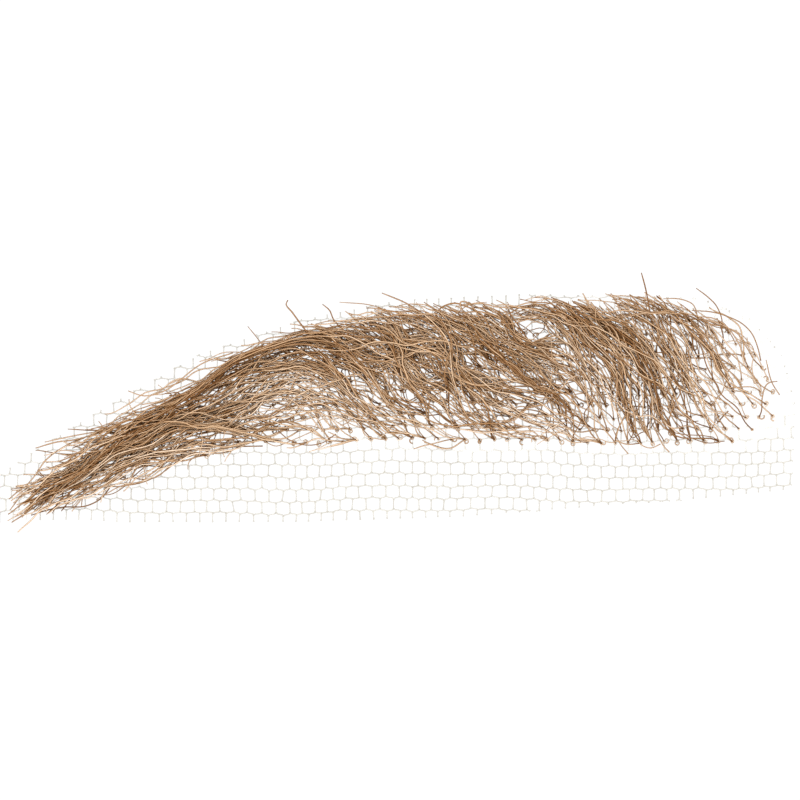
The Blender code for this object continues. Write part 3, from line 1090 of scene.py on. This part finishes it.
    def clump(
        self, bundles: dict[Zone, Strands], number: int, first: int, knot: np.ndarray, hairs: int
    ) -> None:
        """Grow a few hairs that run together from one knot.

        Args:
            bundles: the bundle of each zone.
            number: the number of the lock that they join.
            first: the sample on its line where they start.
            knot: the knot's x and y.
            hairs: how many there are.
        """
        start, stop = self.rng.normal(0.0, 0.5, 2)
        end = 1.03 - 0.42 * self.rng.random() ** 1.4
        tone = self.tone()
        for _ in range(hairs):
            drift = (start + self.rng.normal(0, 0.2), stop + self.rng.normal(0, 0.3))
            path = self.grow(number, first, knot, drift, end + self.rng.normal(0, 0.03))
            shade = np.clip(tone + self.rng.normal(0, 0.07), 0.2, 1.3)
            path = self.trim(path, self.samples // 3)
            if not self.blocked(path):
                bundles[self.locks[number].zone].add(path, self.radii(), shade + self.painted_light_and_shade(path))

    def loose(self, bundles: dict[Zone, Strands], knot: np.ndarray) -> bool:
        """Grow one hair that keeps to no lock but runs with the hair around it.

        Some of these are wild: fine, short and curled, they cross the others.

        Args:
            bundles: the bundle of each zone.
            knot: the knot's x and y.

        Returns:
            Whether the hair could be laid.
        """
        wild = self.rng.random() < self.wild_share
        length = self.rng.uniform(*(self.wild_length if wild else self.loose_length))
        turns = self.wild_turns(length) if wild else self.loose_turns(length)
        place, rows, end = knot.copy(), [], self.thin_edge * self.rng.uniform(0.5, 2.0)
        for turn in turns:
            rows.append(place)
            run_x, run_y, thickness, _ = self.field.read(place[None])[0]
            if thickness < end and len(rows) > self.least_steps:
                break
            cosine, sine = math.cos(turn), math.sin(turn)
            step = np.array((run_x * cosine - run_y * sine, run_x * sine + run_y * cosine))
            place = place + step * length / self.steps
        flat = smooth_path(np.array(rows), self.samples)
        levels = self.field.read(flat)[:, 3]
        run = np.linspace(0.0, length * len(rows) / self.steps, self.samples)
        rise = 1.0 - np.exp(-run / self.rise_length)
        height = self.root_height + rise * levels * MM * self.rng.uniform(*self.loose_levels)
        tone = self.tone()
        radius = self.radii() * (self.wild_radius if wild else 1.0)
        path = self.trim(np.column_stack((flat, height)), 4)
        long_enough = np.linalg.norm(np.diff(path[:, :2], axis=0), axis=1).sum() > self.shortest
        fits = bool(long_enough) and not self.blocked(path)
        if fits:
            bundles[self.zone_at(knot)].add(path, radius, tone + self.painted_light_and_shade(path))
        return fits

    def blocked(self, path: np.ndarray) -> bool:
        """Say whether a hair would lie across one of the clear places and is left out for it."""
        gaps = np.linalg.norm(path[None, :, :2] - self.clear[:, None], axis=2).min(axis=1)
        return bool(((gaps < self.clear_radius) & (self.rng.random(len(gaps)) < self.clear_share)).any())

    def tone(self) -> float:
        """Draw one hair's shade: most are alike and some are darker."""
        darker = self.dark_step if self.rng.random() < self.dark_share else 0.0
        return float(np.clip(self.rng.normal(self.mean_tone, self.tone_spread), 0.5, 1.0)) - darker

    def painted_light_and_shade(self, path: np.ndarray) -> np.ndarray:
        """Give the painted light and shade along a hair: lighter low down, where the hairs above shade it,
        and lighter away from the thick of the hair, which gets painted shade.
        """
        thickness = self.field.read(path[:, :2])[:, 2]
        return self.painted_deep_light * (1.5 - path[:, 2] / MM) + self.painted_core_shade * (0.35 - thickness)

    def loose_turns(self, length: float) -> np.ndarray:
        """Draw how a loose hair turns off the flow.

        Args:
            length: the hair's length.

        Returns:
            The turn at each step, in radians.
        """
        share = np.linspace(0.0, 1.0, self.steps)
        phases = self.rng.uniform(0, 2 * math.pi, 2)
        early, lasting = self.loose_lean
        wave, bend, crimp = self.loose_sway
        run = 2 * math.pi * share * length
        turns = self.rng.normal(0.0, early) * np.exp(-2.0 * share) + self.rng.normal(0.0, lasting)
        turns += wave * np.sin(run / self.wave_length + phases[0])
        turns += bend * np.sin(5 * share + phases[1])
        return turns + crimp * np.sin(run / self.rng.uniform(*self.crimp_mm) / MM)

    def wild_turns(self, length: float) -> np.ndarray:
        """Draw how a wild hair curls across the flow.

        Args:
            length: the hair's length.

        Returns:
            The turn at each step, in radians.
        """
        share = np.linspace(0.0, 1.0, self.steps)
        phases = self.rng.uniform(0, 2 * math.pi, 2)
        lasting, curl = self.wild_lean
        turns = self.rng.normal(0.0, lasting) + self.rng.normal(0.0, curl) * (share - 0.4)
        run = 2 * math.pi * share * length
        for sway, lengths, phase in zip(self.wild_sway, self.wild_curl_mm, phases):
            turns += sway * np.sin(run / self.rng.uniform(*lengths) / MM + phase)
        return turns

    def zone_at(self, knot: np.ndarray) -> Zone:
        """Give the zone of the lock that runs nearest to a knot."""
        gaps = [np.linalg.norm(line - knot, axis=1).min() for line in self.lines]
        return self.locks[int(np.argmin(gaps))].zone

    def stray(self, bundles: dict[Zone, Strands]) -> None:
        """Add the single hairs that stand out of the brow's outline.

        Args:
            bundles: the bundle of each zone.
        """
        for hair in STRAY_HAIRS:
            flat = smooth_path(self.chart.place(hair.path), self.samples)
            along = np.linspace(0.0, 1.0, self.samples)
            height = hair.level * MM * (0.75 + 0.25 * ease(along))
            path = np.column_stack((flat, height))
            bundles[Zone.STRAY].add(path, self.radii(), self.rng.uniform(*self.stray_tones))

    def build(self, material: bpy.types.Material) -> list[bpy.types.Object]:
        """Grow and skin all the hair.

        Args:
            material: the hair's finish.

        Returns:
            One object for each zone of the brow.
        """
        bundles = {zone: Strands(zone.value, sides=5) for zone in Zone}
        self.plant(bundles)
        self.stray(bundles)
        return [bundle.build(material) for bundle in bundles.values() if bundle.chains]


@dataclass
class Knots:
    """The small knots that tie each hair to the net."""

    groom: Groom
    coil_thread: float = 0.052 * MM
    loop_thread: float = 0.055 * MM
    coil_turns: float = 1.4
    coil_heights: tuple[float, float] = (0.08, 0.24)
    loop_heights: tuple[float, float] = (0.2, 0.3)
    style_shares: tuple[float, float, float] = (0.25, 0.45, 0.3)
    seed: int = 23

    def build(self, material: bpy.types.Material) -> bpy.types.Object:
        """Build a knot at every rooted joint of the net.

        Args:
            material: the hair's finish.

        Returns:
            All knots as one object.
        """
        rng = np.random.default_rng(self.seed)
        knots = Strands("hair_knots", sides=4)
        for place, tone in self.groom.knots:
            style = KnotStyle(int(rng.choice(3, p=self.style_shares)))
            self.tie(knots, place, tone, style, rng)
        return knots.build(material)

    def tie(
        self, knots: Strands, place: np.ndarray, tone: float, style: KnotStyle, rng: np.random.Generator
    ) -> None:
        """Wind one knot round its joint.

        Args:
            knots: the bundle that it goes into.
            place: the joint's x and y.
            tone: the hair's shade.
            style: how its end lies.
            rng: the source of its small differences.
        """
        turn = rng.uniform(0, 2 * math.pi)
        angles = turn + np.linspace(0, 2 * math.pi * self.coil_turns, 11)
        size = (rng.uniform(0.07, 0.11) if style is KnotStyle.TIGHT else rng.uniform(0.09, 0.15)) * MM
        coil = np.column_stack((
            place[0] + size * np.cos(angles),
            place[1] + size * np.sin(angles),
            np.linspace(*self.coil_heights, len(angles)) * MM,
        ))
        knots.add(coil, self.coil_thread, tone)
        if style is KnotStyle.TIGHT:
            return
        reach = (0.27 if style is KnotStyle.LOOP else 0.34) * MM * rng.uniform(0.8, 1.2)
        sweep = 1.7 * math.pi if style is KnotStyle.LOOP else 1.05 * math.pi
        heading = rng.uniform(0, 2 * math.pi)
        centre = place + reach * 0.6 * np.array((math.cos(heading), math.sin(heading)))
        bend = heading + math.pi + np.linspace(0.0, sweep, 10)
        loop = np.column_stack((
            centre[0] + reach * 0.55 * np.cos(bend),
            centre[1] + reach * 0.55 * np.sin(bend),
            np.linspace(*self.loop_heights, len(bend)) * MM,
        ))
        knots.add(loop, self.loop_thread, tone * 0.9)


@dataclass
class Studio:
    """The white floor, the soft lights and the camera straight above."""

    chart: PhotoChart
    lens: float = 180.0
    sensor: float = 36.0
    floor_size: float = 6.0
    floor_shade: float = 0.03
    floor_glow: float = 1.02

    def build(self) -> None:
        """Build the floor, the lights, the world and the camera."""
        self.add_floor()
        self.add_light("key", (-0.16, 0.18, 0.46), 0.20, 1.5)
        self.add_light("fill", (0.24, -0.14, 0.48), 0.30, 0.7)
        self.add_world()
        self.add_camera()

    def add_floor(self) -> None:
        """Lay a wide white floor under the net."""
        half = self.floor_size / 2
        mesh = bpy.data.meshes.new("floor")
        corners = [(-half, -half, 0), (half, -half, 0), (half, half, 0), (-half, half, 0)]
        mesh.from_pydata(corners, [], [(0, 1, 2, 3)])
        material = bpy.data.materials.new("floor_white")
        material.use_nodes = True
        shader = material.node_tree.nodes["Principled BSDF"]
        shade = self.floor_shade
        shader.inputs["Base Color"].default_value = (shade, shade, shade, 1.0)
        shader.inputs["Roughness"].default_value = 0.9
        shader.inputs["Specular IOR Level"].default_value = 0.0
        shader.inputs["Emission Color"].default_value = (1.0, 1.0, 1.0, 1.0)
        shader.inputs["Emission Strength"].default_value = self.floor_glow
        mesh.materials.append(material)
        floor = bpy.data.objects.new("floor", mesh)
        bpy.context.scene.collection.objects.link(floor)

    @staticmethod
    def add_light(name: str, place: tuple[float, float, float], size: float, power: float) -> None:
        """Hang a square soft light that faces the brow.

        Args:
            name: the light's name.
            place: where it hangs.
            size: the length of its side.
            power: its power in watts.
        """
        data = bpy.data.lights.new(name, "AREA")
        data.size = size
        data.energy = power
        light = bpy.data.objects.new(name, data)
        light.location = place
        light.rotation_euler = (-Vector(place)).to_track_quat("-Z", "Y").to_euler()
        bpy.context.scene.collection.objects.link(light)

    @staticmethod
    def add_world() -> None:
        """Surround the scene with an even white."""
        world = bpy.data.worlds.new("studio")
        world.use_nodes = True
        background = world.node_tree.nodes["Background"]
        background.inputs["Color"].default_value = (1.0, 1.0, 1.0, 1.0)
        background.inputs["Strength"].default_value = 1.0
        bpy.context.scene.world = world
        bpy.context.scene.view_settings.view_transform = "Standard"

    def add_camera(self) -> None:
        """Set the camera above the middle of the picture, looking straight down."""
        data = bpy.data.cameras.new("camera")
        data.lens = self.lens
        data.sensor_width = self.sensor
        middle = self.chart.picture_px / 2
        x, y = self.chart.place(np.array([(middle, middle)]))[0]
        camera = bpy.data.objects.new("camera", data)
        camera.location = (x, y, self.lens / self.sensor * self.chart.picture_px * self.chart.scale)
        data.clip_start, data.clip_end = 0.01, 20.0
        bpy.context.scene.collection.objects.link(camera)
        bpy.context.scene.camera = camera


def mount(piece: bpy.types.Object, node: str) -> None:
    """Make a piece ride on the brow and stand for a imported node.

    Args:
        piece: the finished piece.
        node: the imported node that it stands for.
    """
    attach(piece, "root")
    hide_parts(node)
    LOG.info("%s: %d faces", piece.name, len(piece.data.polygons))


def main() -> None:
    """Build the net, the hair and the studio."""
    logging.basicConfig(level=logging.INFO, format="%(message)s")
    chart = PhotoChart()
    hair_material = HAIR_FINISH.build()
    net = LaceNet(chart)
    mount(net.build(NET_FINISH.build()), "lace_net")
    groom = Groom(chart, net)
    for piece in groom.build(hair_material):
        mount(piece, "brow_hair")
    mount(Knots(groom).build(hair_material), "brow_hair")
    Studio(chart).build()


if __name__ == "__main__":
    main()
